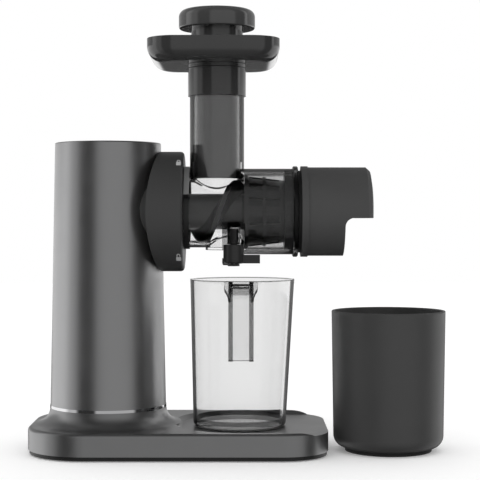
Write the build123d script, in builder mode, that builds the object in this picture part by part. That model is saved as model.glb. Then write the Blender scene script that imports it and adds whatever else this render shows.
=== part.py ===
"""Cold press juicer: a horizontal auger juicer with its jug and its pulp cup.

+Z is up, +X runs from the motor column along the auger, -Y is the front.
The origin is on the table, under the middle of the juicer and the pulp cup.
"""

from build123d import *
import math
import os

os.makedirs("parts", exist_ok=True)

# ---------------------------------------------------------------- driving dimensions (mm)
running_fit = 0.05  # radial clearance of a shaft in its bush
body_gap = 0.3  # clearance between bodies that move past each other

# base
base_length = 246.7
base_depth = 142.0
base_height = 22.7
base_left_corner = 50.0
base_right_corner = 38.0
base_wall = 2.5
base_edge_round = 3.0
skirt_top = 4.2
skirt_inset = 1.2
foot_height = 2.2
foot_standoff = 1.0
foot_radius = 9.0
foot_edge_round = 0.6
foot_inset = 35.0
foot_spread = 48.0
base_screw_inset = 24.0
base_screw_spread = 38.0
recess_depth = 3.0
recess_rim = 4.8
recess_slope = 5.0  # run of its sloped sides
recess_corner = 55.0
recess_start = 121.0  # from the left end of the base

# column
column_from_left = 64.0
column_foot_radius = 48.3
column_top_radius = 44.2
column_above_hub = 7.0  # flat top over the highest line of the drum
column_wall = 2.5
column_edge_round = 1.0
flare_height = 12.8
flare_bore = 40.0
trim_height = 2.4
trim_lip = 0.3
column_screw_inset = 5.1

# hub
auger_height = 198.9
hub_reach = 64.0  # column axis to the face of the hub
hub_radius = 50.1
hub_wall = 2.5
hub_edge_round = 3.0
hub_front_wall = 4.0
saddle_radius = 145.0
saddle_reach = 43.4  # column axis to the deepest line of the saddle
socket_depth = 12.0
socket_wall = 2.5

# drive train
gear_module = 1.2
gear_addendum = 0.75  # times the module
gear_dedendum = 1.1  # times the module
gear_root_share = 0.27  # half a tooth's root, of its pitch
gear_tip_share = 0.10  # half a tooth's tip, of its pitch
pinion_teeth = 14
wheel_teeth = 42
gear_width = 6.0
gear_spacing = 2.0
plate_thickness = 3.0
chassis_from_column = 8.0
plate_half_width = 27.0
plate_margin = 37.0  # plate above the auger axis
chassis_foot_length = 22.0
chassis_screw_inset = 8.0
chassis_screw_spread = 18.0
post_inset = 6.0
upper_post_rise = 32.0  # above the auger axis
upper_post_spread = 14.0
lower_post_spread = 22.0
hub_post_offset = 22.0
post_bore_length = 8.0
shaft_radius = 6.0
bush_wall = 3.0
idler_pin_radius = 3.0
idler_boss_radius = 6.0
idler_boss_stand = 0.5
motor_radius = 24.0
motor_wall = 1.5
motor_length = 38.0
motor_bell_length = 5.0
motor_shaft_radius = 2.5
motor_end_wall = 2.0
motor_edge_round = 2.0
rotor_rear_gap = 4.0
rotor_front_gap = 6.0
rotor_slots = 8
slot_depth = 7.0
slot_width = 2.5
magnet_split = 4.0  # half the gap between the two magnets
magnet_thickness = 3.7
air_gap = 0.6
drive_socket_radius = 8.0
drive_socket_start = 4.0  # from the front plate
drive_socket_depth = 9.0
hex_end_gap = 0.5
drive_hex = 10.0  # across the flats
seal_radius = 11.0
post_radius = 3.5
screw_radius = 1.6
screw_head_radius = 2.8
screw_head_height = 1.8
screw_tip_gap = 1.5
boss_radius = 4.0
column_boss_length = 14.0
column_bore_length = 12.0

# chamber
barrel_radius = 30.1
barrel_bore = 26.8
barrel_length = 47.5
wide_radius = 35.9
wide_bore = 33.0
wide_length = 43.0
step_wall = 2.5
flange_radius = 38.0
flange_width = 4.3
flange_bevel = 0.8
spigot_length = 10.0
lock_ring_width = 4.2
lock_ring_radius = 31.4
lug_radius = 38.4
lug_angle = 48.0  # of each lug's middle above the horizontal
lug_span = 56.0
chute_from_hub = 27.3
chute_radius = 22.7
chute_wall = 2.5
chute_rise = 121.2  # top of the chute above the auger axis
spout_from_hub = 39.0
sump_radius = 21.3
sump_drop = 32.1  # below the auger axis
sump_wall = 2.0
nozzle_radius = 5.8
nozzle_bore = 4.2
nozzle_length = 6.5

# auger
auger_core = 15.0
auger_tip = 26.4
auger_pitch = 60.0
flight_front_from_hub = 29.8  # where the flight faces the front
flight_root_half = 37.0  # degrees
flight_tip_half = 13.0
auger_start_gap = 0.7
auger_flange_radius = 26.1
auger_flange_land = 1.6
auger_flange_foot = 10.2  # where its slope ends inside the core
auger_seal_radius = 10.5
auger_seal_wall = 2.0
seal_end_gap = 0.2
auger_end_from_step = 41.5
auger_taper_end = 21.6
journal_radius = 6.0
journal_length = 9.0
auger_shaft_length = 60.0

# strainer
strainer_start_gap = 0.3
strainer_large = 29.8
strainer_small = 26.0
strainer_wall = 2.0
strainer_cone_length = 33.0
strainer_end_ring = 7.0
strainer_windows = 12
mesh_thickness = 0.5
mesh_seat_gap = 0.1
rib_width = 2.6
rib_height = 1.2

# end cap
gasket_radius = 34.4
gasket_width = 2.6
cap_rim_radius = 38.0
cap_rim_width = 5.6
cap_radius = 37.1
cap_length = 61.2
cap_wall = 2.6
cap_spigot_radius = 32.6
cap_spigot_length = 4.0
cap_dome = 7.0
cap_shoulder_radius = 34.1
cap_shoulder_back = 3.7
cap_crown_radius = 26.5
cap_crown_back = 2.3
journal_end_gap = 0.5
bearing_floor = 1.5
bearing_boss_radius = 10.0
spoke_width = 3.0
outlet_drop = 5.5  # below the auger axis
outlet_left_from_end = 25.9
outlet_round = 7.1

# feed tray and pusher
collar_radius = 24.25
collar_length = 25.0
tray_length = 108.0
tray_from_chute = 2.4  # the tray's middle, towards the hub
tray_depth = 112.0
tray_corner = 24.0
tray_height = 19.0
tray_bottom_round = 12.0
tray_wall = 2.5
stem_radius = 18.9
stem_wall = 2.5
pusher_tip_rise = 27.6  # above the auger axis
neck_radius = 21.6
knob_radius = 31.9
knob_rise = 31.3  # above the chute
knob_height = 16.1
knob_round = 6.0
knob_plug_length = 6.0
pusher_edge_round = 1.5

# drip stop
pivot_radius = 2.9
pivot_from_spout = 2.4
pivot_boss_rise = 19.2  # above the sump's floor
pivot_boss_radius = 5.2
pivot_roof = 1.5
pin_head_radius = 4.9
pin_head_height = 1.7
gate_hub_radius = 8.5
gate_thickness = 3.9
gate_hub_height = 15.5
gate_arm_width = 14.0
gate_seat_rim = 2.1
gate_edge_round = 2.0
lever_length = 21.5
lever_width = 8.0
lever_height = 6.9

# power switch
switch_rise = 52.1  # above the foot of the column
bezel_width = 24.0
bezel_height = 34.0
bezel_stand = 3.0
bezel_corner = 3.0
bezel_flange_depth = 6.0
bezel_depth = 7.0  # behind the column's wall
switch_opening_width = 20.0
switch_opening_height = 30.0
rocker_width = 14.0
rocker_height = 22.0
rocker_depth = 6.0
rocker_stand = 1.2  # ends of the rocker, out from the bezel
rocker_dish = 1.4
rocker_taper = 2.0

# jug
jug_from_hub = 46.2
jug_foot_radius = 38.7
jug_rim_radius = 43.7
jug_lean = 2.3  # rim centre ahead of the foot centre
jug_rim_height = 142.3
jug_wall = 2.6
jug_floor = 3.0
handle_width = 20.0
handle_reach = 27.0
handle_drop = 62.3  # free end below the rim
handle_thickness = 3.0
handle_flange_width = 3.4
handle_flange_depth = 7.0
handle_bend = 14.0
handle_lean = 8.0  # free end, back towards the jug
jug_bottom_round = 3.0

# pulp cup
cup_from_left = 298.3
cup_forward = 9.0
cup_rim_radius = 47.3
cup_foot_radius = 45.6
cup_top = 116.5
cup_wall = 2.2
cup_bottom_round = 10.0
cup_rim_round = 0.9
cup_ring_radius = 36.0
cup_ring_width = 5.0
cup_base_height = 3.0

# electronics and cord inlet
board_width = 44.0
board_length = 52.0
board_thickness = 1.6
board_rise = 15.3  # above the top of the base
board_standoff = 4.0
board_hole_inset = 4.0
standoff_radius = 2.5
component_offset = 8.0  # each side of the board's middle line
relay_depth = 12.0
relay_width = 12.0
relay_length = 22.0
capacitor_length = 13.0
capacitor_radius = 5.0
gland_radius = 6.0
gland_bore = 3.4
gland_length = 12.0
gland_height = 10.7
wire_way_offset = 16.0  # behind the column axis, towards the left end
wire_way_radius = 9.0

# ---------------------------------------------------------------- derived stations
base_left = -(cup_from_left + cup_rim_radius) / 2
base_right = base_left + base_length
column_x = base_left + column_from_left
column_foot = base_height + flare_height + trim_height
flare_radius = column_foot_radius + trim_lip + flare_height
column_top = auger_height + hub_radius + column_above_hub
switch_height = column_foot + switch_rise
hub_x = column_x + hub_reach
saddle_x = column_x + saddle_reach - saddle_radius
step_x = hub_x + barrel_length
flange_x = step_x + wide_length
chamber_end_x = flange_x + flange_width
gasket_x = chamber_end_x + body_gap
cap_x = chamber_end_x + gasket_width
cap_end_x = cap_x + cap_length
chute_x = hub_x + chute_from_hub
spout_x = hub_x + spout_from_hub
jug_x = hub_x + jug_from_hub
cup_x = base_left + cup_from_left
cup_y = -cup_forward
recess_floor = base_height - recess_depth
chute_top = auger_height + chute_rise
sump_bottom = auger_height - sump_drop
nozzle_bottom = sump_bottom - nozzle_length
outlet_top = auger_height - outlet_drop
tray_bottom = chute_top + body_gap
pusher_tip_height = auger_height + pusher_tip_rise
knob_bottom = chute_top + knob_rise
knob_top = knob_bottom + knob_height
pivot_top = sump_bottom + pivot_boss_rise
gate_arm_top = nozzle_bottom - body_gap
gate_bottom = gate_arm_top - gate_thickness
gate_hub_top = gate_bottom + gate_hub_height
handle_end = jug_rim_height - handle_drop
board_bottom = base_height + board_rise

pinion_radius = gear_module * pinion_teeth / 2
wheel_radius = gear_module * wheel_teeth / 2
gear_centres = pinion_radius + wheel_radius
idler_height = auger_height - gear_centres
motor_height = idler_height - gear_centres
chassis_x = column_x + chassis_from_column
first_stage_x = chassis_x + plate_thickness + gear_spacing
second_stage_x = first_stage_x + gear_width + gear_spacing
front_plate_x = second_stage_x + gear_width + gear_spacing
front_plate_end = front_plate_x + plate_thickness
socket_floor_x = hub_x - socket_depth
bush_radius = shaft_radius + bush_wall
post_low = motor_height + post_inset
upper_post = (upper_post_spread, auger_height + upper_post_rise)
lower_post = (lower_post_spread, post_low)
hub_opening_radius = math.hypot(hub_post_offset, hub_post_offset) + post_radius + body_gap

auger_axis = Axis((0, 0, auger_height), (1, 0, 0))
TO_PLUS_X = dict(rotation=(0, 90, 0), align=(Align.CENTER, Align.CENTER, Align.MIN))
LOW = (Align.MIN, Align.MIN, Align.MIN)


# ---------------------------------------------------------------- helpers
def rod_x(start, end, radius, y=0.0, z=auger_height, mode=Mode.ADD):
    """A round bar along X between two stations."""
    with Locations((start, y, z)):
        Cylinder(radius, end - start, mode=mode, **TO_PLUS_X)


def hex_x(start, end, radius, mode=Mode.ADD):
    """A hexagonal bar along the auger axis between two stations."""
    with BuildSketch(Plane((start, 0, auger_height), x_dir=(0, 1, 0), z_dir=(1, 0, 0))) as outline:
        RegularPolygon(radius, 6)
    extrude(outline.sketch, amount=end - start, mode=mode)


def rod_z(x, y, bottom, top, radius, mode=Mode.ADD):
    """A round upright bar between two heights."""
    with Locations((x, y, bottom)):
        Cylinder(radius, top - bottom, align=(Align.CENTER, Align.CENTER, Align.MIN), mode=mode)


def block(x, y, z, mode=Mode.ADD):
    """A box from three (low, high) pairs."""
    with Locations((x[0], y[0], z[0])):
        Box(x[1] - x[0], y[1] - y[0], z[1] - z[0], align=LOW, mode=mode)


def turned(stations, mode=Mode.ADD):
    """A body of revolution about the auger axis from (x, radius) stations."""
    with BuildSketch(Plane.XZ) as profile:
        with BuildLine():
            Polyline(*[(x, auger_height + radius) for x, radius in stations], close=True)
        make_face()
    revolve(profile.sketch, axis=auger_axis, mode=mode)


def turned_upright(x, y, stations, mode=Mode.ADD):
    """A body of revolution about a vertical axis from (radius, z) stations."""
    with BuildSketch(Plane((x, y, 0), x_dir=(1, 0, 0), z_dir=(0, -1, 0))) as profile:
        with BuildLine():
            Polyline(*stations, close=True)
        make_face()
    revolve(profile.sketch, axis=Axis((x, y, 0), (0, 0, 1)), mode=mode)


def base_plan(inset, height):
    """The base's outline, drawn in by an inset, at a height."""
    with BuildSketch(Plane.XY.offset(height)) as plan:
        with Locations((base_left + base_length / 2, 0)):
            Rectangle(base_length - 2 * inset, base_depth - 2 * inset)
        fillet(plan.vertices().group_by(Axis.X)[0], base_left_corner - inset)
        fillet(plan.vertices().group_by(Axis.X)[-1], base_right_corner - inset)
    return plan.sketch


def column_radius(height):
    """The column's outer radius at a height."""
    rise = (height - column_foot) / (column_top - column_foot)
    return column_foot_radius + (column_top_radius - column_foot_radius) * rise


def polar(radius, angle):
    """A point at a radius and an angle in degrees."""
    return radius * math.cos(math.radians(angle)), radius * math.sin(math.radians(angle))


def gear_outline(x, height, teeth, first_angle):
    """A spur gear's outline, its first tooth at an angle from +Y towards +Z."""
    pitch = gear_module * teeth / 2
    root, tip = pitch - gear_dedendum * gear_module, pitch + gear_addendum * gear_module
    corners = (
        (root, -gear_root_share), (tip, -gear_tip_share), (tip, gear_tip_share), (root, gear_root_share)
    )
    points = []
    for tooth in range(teeth):
        for radius, share in corners:
            points.append(polar(radius, first_angle + (tooth + share) * 360 / teeth))
    with BuildSketch(Plane((x, 0, height), x_dir=(0, 1, 0), z_dir=(1, 0, 0))) as outline:
        with BuildLine():
            Polyline(*points, close=True)
        make_face()
    return outline.sketch


def quarter_points(radius, first=45.0):
    """Four points evenly round the column's axis."""
    return [polar(radius, first + 90 * turn) for turn in range(4)]


def four_corners(inset, spread):
    """Four points in from the base's ends and out from its middle line."""
    return [(x, side * spread) for x in (base_left + inset, base_right - inset) for side in (-1, 1)]


def save(builder, name):
    """Label a finished piece and write its STEP file."""
    builder.part.label = name
    export_step(builder.part, f"parts/{name}.step")


# ---------------------------------------------------------------- base
base_screw_points = four_corners(base_screw_inset, base_screw_spread)
foot_points = four_corners(foot_inset, foot_spread)
column_screw_points = [(column_x + x, y) for x, y in quarter_points(column_foot_radius - column_screw_inset)]
shell_ceiling = recess_floor - base_wall
chassis_screw_points = [(chassis_x - chassis_screw_inset, side * chassis_screw_spread) for side in (-1, 1)]

with BuildPart() as base_shell:
    extrude(base_plan(0, skirt_top), amount=base_height - skirt_top)
    fillet(base_shell.faces().sort_by(Axis.Z)[-1].edges(), base_edge_round)
    # shallow recess for the jug with sloped sides, open through the right end
    with BuildSketch(Plane.XY.offset(recess_floor)) as recess:
        with Locations((base_left + recess_start + recess_slope, 0)):
            Rectangle(
                base_length, base_depth - 2 * (recess_rim + recess_slope), align=(Align.MIN, Align.CENTER)
            )
        fillet(recess.vertices().group_by(Axis.X)[0], recess_corner - recess_slope)
    slope_angle = math.degrees(math.atan(recess_slope / recess_depth))
    extrude(amount=recess_depth, taper=-slope_angle, mode=Mode.SUBTRACT)
    # flared foot under the column, concave outside
    with BuildSketch(Plane((column_x, 0, 0), x_dir=(1, 0, 0), z_dir=(0, -1, 0))) as flare:
        with BuildLine():
            Line((flare_bore, base_height), (flare_radius, base_height))
            flare_top = (flare_radius - flare_height, base_height + flare_height)
            slack = flare_height * (1 - math.cos(math.radians(45)))
            ThreePointArc(
                (flare_radius, base_height), (flare_top[0] + slack, base_height + slack), flare_top
            )
            Line(flare_top, (flare_bore, base_height + flare_height))
            Line((flare_bore, base_height + flare_height), (flare_bore, base_height))
        make_face()
    revolve(axis=Axis((column_x, 0, 0), (0, 0, 1)))
    # hollow underside with screw bosses
    extrude(base_plan(base_wall, skirt_top), amount=shell_ceiling - skirt_top, mode=Mode.SUBTRACT)
    for x, y in base_screw_points:
        rod_z(x, y, skirt_top, shell_ceiling, boss_radius)
        rod_z(x, y, skirt_top, shell_ceiling - screw_tip_gap, screw_radius, mode=Mode.SUBTRACT)
    # screws that hold the column and the chassis, and the wire way
    for x, y in column_screw_points + chassis_screw_points:
        rod_z(x, y, shell_ceiling, base_height + flare_height, screw_radius, mode=Mode.SUBTRACT)
    rod_z(column_x - wire_way_offset, 0, shell_ceiling, base_height, wire_way_radius, mode=Mode.SUBTRACT)
    with Locations(Location((column_x, base_depth / 2, gland_height), (90, 0, 0))):
        Cylinder(gland_radius, 4 * base_wall, mode=Mode.SUBTRACT)
save(base_shell, "base_shell")

with BuildPart() as base_plate:
    extrude(base_plan(skirt_inset, foot_standoff), amount=skirt_top - foot_standoff)
    for x, y in base_screw_points:
        rod_z(x, y, foot_standoff, skirt_top, screw_radius, mode=Mode.SUBTRACT)
        rod_z(x, y, foot_standoff, foot_standoff + screw_head_height, screw_head_radius, Mode.SUBTRACT)
    for x, y in foot_points:
        rod_z(x, y, foot_standoff, foot_height, foot_radius, mode=Mode.SUBTRACT)
save(base_plate, "base_plate")

with BuildPart() as rubber_feet:
    for x, y in foot_points:
        rod_z(x, y, 0, foot_height, foot_radius)
    fillet(rubber_feet.edges().group_by(Axis.Z)[0], foot_edge_round)
save(rubber_feet, "rubber_feet")

with BuildPart() as base_screws:
    for x, y in base_screw_points:
        rod_z(x, y, foot_standoff, foot_standoff + screw_head_height, screw_head_radius)
        rod_z(x, y, foot_standoff + screw_head_height, shell_ceiling - 2 * screw_tip_gap, screw_radius)
save(base_screws, "base_screws")

with BuildPart() as cord_gland:
    with BuildSketch(Plane.XZ.offset(-base_depth / 2)) as gland:
        with Locations((column_x, gland_height)):
            Circle(gland_radius)
            Circle(gland_bore, mode=Mode.SUBTRACT)
    extrude(amount=gland_length)
save(cord_gland, "cord_gland")

# ---------------------------------------------------------------- column
trim_bottom = base_height + flare_height
trim_bore = flare_bore + column_wall

with BuildPart() as trim_ring:
    turned_upright(column_x, 0, [
        (trim_bore, trim_bottom),
        (column_foot_radius + trim_lip, trim_bottom),
        (column_foot_radius + trim_lip, column_foot),
        (trim_bore, column_foot),
    ])
    for x, y in column_screw_points:
        rod_z(x, y, trim_bottom, column_foot, screw_radius, mode=Mode.SUBTRACT)
save(trim_ring, "trim_ring")


def column_body(inset, mode=Mode.ADD):
    """The column's tapered round body, drawn in by a wall."""
    turned_upright(column_x, 0, [
        (0, column_foot),
        (column_foot_radius - inset, column_foot),
        (column_top_radius - inset, column_top - inset),
        (0, column_top - inset),
    ], mode=mode)


with BuildPart() as column_shell:
    column_body(0)
    fillet(column_shell.edges().group_by(Axis.Z)[-1], column_edge_round)
    column_body(column_wall, mode=Mode.SUBTRACT)
    # way through to the hub
    rod_x(column_x, hub_x, hub_opening_radius, mode=Mode.SUBTRACT)
    # bosses that the base's screws bite into
    for x, y in column_screw_points:
        rod_z(x, y, column_foot, column_foot + column_boss_length, boss_radius)
        rod_z(x, y, column_foot, column_foot + column_bore_length, screw_radius, mode=Mode.SUBTRACT)
    # opening for the power switch at the back
    block(
        (column_x - switch_opening_width / 2, column_x + switch_opening_width / 2),
        (0, base_depth / 2),
        (switch_height - switch_opening_height / 2, switch_height + switch_opening_height / 2),
        mode=Mode.SUBTRACT,
    )
save(column_shell, "column_shell")

with BuildPart() as column_screws:
    for x, y in column_screw_points:
        rod_z(x, y, shell_ceiling - screw_head_height, shell_ceiling, screw_head_radius)
        rod_z(x, y, shell_ceiling, column_foot + column_bore_length - screw_tip_gap, screw_radius)
save(column_screws, "column_screws")

# ---------------------------------------------------------------- hub
socket_radius = barrel_radius + body_gap
hub_post_points = [
    (y, auger_height + z)
    for y in (-hub_post_offset, hub_post_offset)
    for z in (-hub_post_offset, hub_post_offset)
]


def behind_saddle(gap):
    """Everything left of the upright round face that closes the drum, moved right by a gap."""
    with Locations((saddle_x, 0, auger_height)):
        Cylinder(saddle_radius + gap, 3 * hub_radius, mode=Mode.SUBTRACT)


with BuildPart() as drum_hollow:
    rod_x(column_x, hub_x - hub_front_wall, hub_radius - hub_wall)
    behind_saddle(hub_wall)

with BuildPart() as hub_housing:
    rod_x(column_x, hub_x, hub_radius)
    fillet(hub_housing.edges().group_by(Axis.X)[-1], hub_edge_round)
    behind_saddle(0)
    add(drum_hollow.part, mode=Mode.SUBTRACT)
    column_body(0, mode=Mode.SUBTRACT)
    rod_x(column_x, hub_x - hub_front_wall, hub_opening_radius, mode=Mode.SUBTRACT)
    # socket for the chamber's spigot, on posts from the gearbox
    rod_x(socket_floor_x - socket_wall, hub_x - hub_front_wall, socket_radius + socket_wall)
    rod_x(socket_floor_x, hub_x, socket_radius, mode=Mode.SUBTRACT)
    for y, z in hub_post_points:
        rod_x(front_plate_end, socket_floor_x, post_radius, y, z)
        bore_end = front_plate_end + post_bore_length
        rod_x(front_plate_end, bore_end, screw_radius, y, z, mode=Mode.SUBTRACT)
    rod_x(front_plate_end, hub_x, seal_radius, mode=Mode.SUBTRACT)
save(hub_housing, "hub_housing")

# ---------------------------------------------------------------- gearbox frame
plate_top = auger_height + plate_margin


def plate(x, bottom):
    """A flat upright plate with rounded upper corners."""
    with BuildSketch(Plane((x, 0, 0), x_dir=(0, 1, 0), z_dir=(1, 0, 0))) as outline:
        with Locations((0, (plate_top + bottom) / 2)):
            Rectangle(2 * plate_half_width, plate_top - bottom)
        fillet(outline.vertices().group_by(Axis.Z)[-1], plate_half_width / 2)
    extrude(outline.sketch, amount=plate_thickness)


gearbox_post_points = [(side * y, z) for side in (-1, 1) for y, z in (upper_post, lower_post)]

with BuildPart() as chassis_plate:
    plate(chassis_x, base_height)
    block(
        (chassis_x - chassis_foot_length + plate_thickness, chassis_x + plate_thickness),
        (-plate_half_width, plate_half_width),
        (base_height, base_height + plate_thickness),
    )
    for x, y in chassis_screw_points:
        rod_z(x, y, base_height, base_height + plate_thickness, screw_radius, mode=Mode.SUBTRACT)
    chassis_end = chassis_x + plate_thickness
    rod_x(chassis_x, chassis_end, bush_radius, mode=Mode.SUBTRACT)
    rod_x(chassis_x, chassis_end, idler_pin_radius, z=idler_height, mode=Mode.SUBTRACT)
    rod_x(chassis_x, chassis_end, motor_shaft_radius + bush_wall, z=motor_height, mode=Mode.SUBTRACT)
save(chassis_plate, "chassis_plate")

with BuildPart() as chassis_screws:
    for x, y in chassis_screw_points:
        rod_z(x, y, shell_ceiling - screw_tip_gap, base_height + plate_thickness, screw_radius)
        top = base_height + plate_thickness + screw_head_height
        rod_z(x, y, base_height + plate_thickness, top, screw_head_radius)
save(chassis_screws, "chassis_screws")

with BuildPart() as gearbox_front_plate:
    plate(front_plate_x, post_low - post_inset)
    rod_x(front_plate_x, front_plate_end, bush_radius, mode=Mode.SUBTRACT)
    rod_x(front_plate_x, front_plate_end, idler_pin_radius, z=idler_height, mode=Mode.SUBTRACT)
    for y, z in gearbox_post_points + hub_post_points:
        rod_x(front_plate_x, front_plate_end, screw_radius, y, z, mode=Mode.SUBTRACT)
save(gearbox_front_plate, "gearbox_front_plate")

with BuildPart() as gearbox_posts:
    for y, z in gearbox_post_points:
        rod_x(chassis_end, front_plate_x, post_radius, y, z)
        rod_x(front_plate_x - post_bore_length, front_plate_x, screw_radius, y, z, mode=Mode.SUBTRACT)
save(gearbox_posts, "gearbox_posts")

with BuildPart() as gearbox_screws:
    for y, z in gearbox_post_points:
        rod_x(front_plate_x - post_bore_length + screw_tip_gap, front_plate_end, screw_radius, y, z)
        rod_x(front_plate_end, front_plate_end + screw_head_height, screw_head_radius, y, z)
save(gearbox_screws, "gearbox_screws")

with BuildPart() as hub_screws:
    for y, z in hub_post_points:
        rod_x(front_plate_x - screw_head_height, front_plate_x, screw_head_radius, y, z)
        rod_x(front_plate_x, front_plate_end + post_bore_length - screw_tip_gap, screw_radius, y, z)
save(hub_screws, "hub_screws")

with BuildPart() as shaft_bushes:
    for start in (chassis_x, front_plate_x):
        rod_x(start, start + plate_thickness, bush_radius)
        rod_x(start, start + plate_thickness, shaft_radius + running_fit, mode=Mode.SUBTRACT)
save(shaft_bushes, "shaft_bushes")

with BuildPart() as idler_pin:
    rod_x(chassis_x, front_plate_end, idler_pin_radius, z=idler_height)
save(idler_pin, "idler_pin")

# ---------------------------------------------------------------- motor
motor_front_x = chassis_x
motor_rear_x = motor_front_x - motor_length
bell_start = motor_rear_x - motor_bell_length
motor_bush_radius = motor_shaft_radius + bush_wall
rotor_radius = motor_radius - motor_wall - magnet_thickness - air_gap
rotor_start = motor_rear_x + rotor_rear_gap
rotor_end = motor_front_x - rotor_front_gap

with BuildPart() as motor_can:
    rod_x(motor_rear_x, motor_front_x, motor_radius, z=motor_height)
    wall_start = motor_front_x - motor_end_wall
    rod_x(motor_rear_x, wall_start, motor_radius - motor_wall, z=motor_height, mode=Mode.SUBTRACT)
    rod_x(wall_start, motor_front_x, motor_bush_radius, z=motor_height, mode=Mode.SUBTRACT)
save(motor_can, "motor_can")

with BuildPart() as motor_magnets:
    for side in (-1, 1):
        with BuildSketch(Plane((rotor_start, 0, motor_height), x_dir=(0, 1, 0), z_dir=(1, 0, 0))) as arc:
            Circle(motor_radius - motor_wall)
            Circle(motor_radius - motor_wall - magnet_thickness, mode=Mode.SUBTRACT)
            with Locations((side * motor_radius, 0)):
                Rectangle(2 * (motor_radius - magnet_split), 2 * motor_radius, mode=Mode.INTERSECT)
        extrude(arc.sketch, amount=rotor_end - rotor_start)
save(motor_magnets, "motor_magnets")

with BuildPart() as motor_rear_bell:
    rod_x(bell_start, motor_rear_x, motor_radius, z=motor_height)
    fillet(motor_rear_bell.edges().group_by(Axis.X)[0], motor_edge_round)
    hollow_start = motor_rear_x - motor_end_wall
    rod_x(hollow_start, motor_rear_x, motor_radius - motor_wall, z=motor_height, mode=Mode.SUBTRACT)
    rod_x(bell_start, motor_rear_x, motor_bush_radius, z=motor_height, mode=Mode.SUBTRACT)
save(motor_rear_bell, "motor_rear_bell")

with BuildPart() as motor_bushes:
    for start, end in ((bell_start, hollow_start), (wall_start, chassis_end)):
        rod_x(start, end, motor_bush_radius, z=motor_height)
        rod_x(start, end, motor_shaft_radius + running_fit, z=motor_height, mode=Mode.SUBTRACT)
save(motor_bushes, "motor_bushes")

with BuildPart() as motor_shaft:
    rod_x(bell_start, first_stage_x + gear_width, motor_shaft_radius, z=motor_height)
save(motor_shaft, "motor_shaft")

with BuildPart() as rotor_core:
    with BuildSketch(Plane((rotor_start, 0, motor_height), x_dir=(0, 1, 0), z_dir=(1, 0, 0))) as lamination:
        Circle(rotor_radius)
        Circle(motor_shaft_radius, mode=Mode.SUBTRACT)
        with PolarLocations(rotor_radius + air_gap - slot_depth / 2, rotor_slots):
            Rectangle(slot_depth, slot_width, mode=Mode.SUBTRACT)
    extrude(lamination.sketch, amount=rotor_end - rotor_start)
save(rotor_core, "rotor_core")

pinion_turn = 90 + 180 / pinion_teeth

with BuildPart() as motor_pinion:
    extrude(gear_outline(first_stage_x, motor_height, pinion_teeth, pinion_turn), amount=gear_width)
    rod_x(
        first_stage_x, first_stage_x + gear_width, motor_shaft_radius, z=motor_height, mode=Mode.SUBTRACT
    )
save(motor_pinion, "motor_pinion")

with BuildPart() as idler_gear:
    extrude(gear_outline(first_stage_x, idler_height, wheel_teeth, 270), amount=gear_width)
    extrude(gear_outline(second_stage_x, idler_height, pinion_teeth, pinion_turn), amount=gear_width)
    start, end = first_stage_x - idler_boss_stand, second_stage_x + gear_width + idler_boss_stand
    rod_x(start, end, idler_boss_radius, z=idler_height)
    rod_x(start, end, idler_pin_radius + running_fit, z=idler_height, mode=Mode.SUBTRACT)
save(idler_gear, "idler_gear")

# ---------------------------------------------------------------- output shaft
socket_start_x = front_plate_end + drive_socket_start
socket_end_x = hub_x - spigot_length - body_gap
chamber_back_x = hub_x - spigot_length
auger_start_x = chamber_back_x + step_wall + auger_start_gap
hex_start_x = socket_end_x - drive_socket_depth
auger_hex_x = hex_start_x + hex_end_gap
auger_hex_end = auger_hex_x + auger_shaft_length
seal_start_x = chamber_back_x + seal_end_gap
hex_radius = drive_hex / math.sqrt(3)

with BuildPart() as output_gear:
    extrude(gear_outline(second_stage_x, auger_height, wheel_teeth, 270), amount=gear_width)
    rod_x(second_stage_x, second_stage_x + gear_width, shaft_radius, mode=Mode.SUBTRACT)
save(output_gear, "output_gear")

with BuildPart() as drive_shaft:
    rod_x(chassis_x, socket_start_x, shaft_radius)
    rod_x(socket_start_x, socket_end_x, drive_socket_radius)
    hex_x(hex_start_x, socket_end_x, hex_radius + running_fit, mode=Mode.SUBTRACT)
save(drive_shaft, "drive_shaft")

with BuildPart() as shaft_seal:
    rod_x(socket_floor_x - socket_wall, socket_floor_x, seal_radius)
    rod_x(
        socket_floor_x - socket_wall, socket_floor_x, drive_socket_radius + running_fit, mode=Mode.SUBTRACT
    )
save(shaft_seal, "shaft_seal")

with BuildPart() as auger_shaft:
    hex_x(auger_hex_x, auger_hex_end, hex_radius)
save(auger_shaft, "auger_shaft")

# ---------------------------------------------------------------- auger
auger_end_x = step_x + auger_end_from_step
spigot_radius = auger_seal_radius - auger_seal_wall
flight_turn = 180 + 360 * (hub_x + flight_front_from_hub - auger_start_x) / auger_pitch



def taper_radius(x):
    """Radius of the cone that trims the flight, at a station; it meets the full flight at the step."""
    return auger_tip - (auger_tip - auger_taper_end) * (x - step_x) / auger_end_from_step


with BuildPart() as auger_spigot:
    rod_x(seal_start_x, auger_start_x, spigot_radius)
    hex_x(seal_start_x, auger_start_x, hex_radius, mode=Mode.SUBTRACT)

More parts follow.
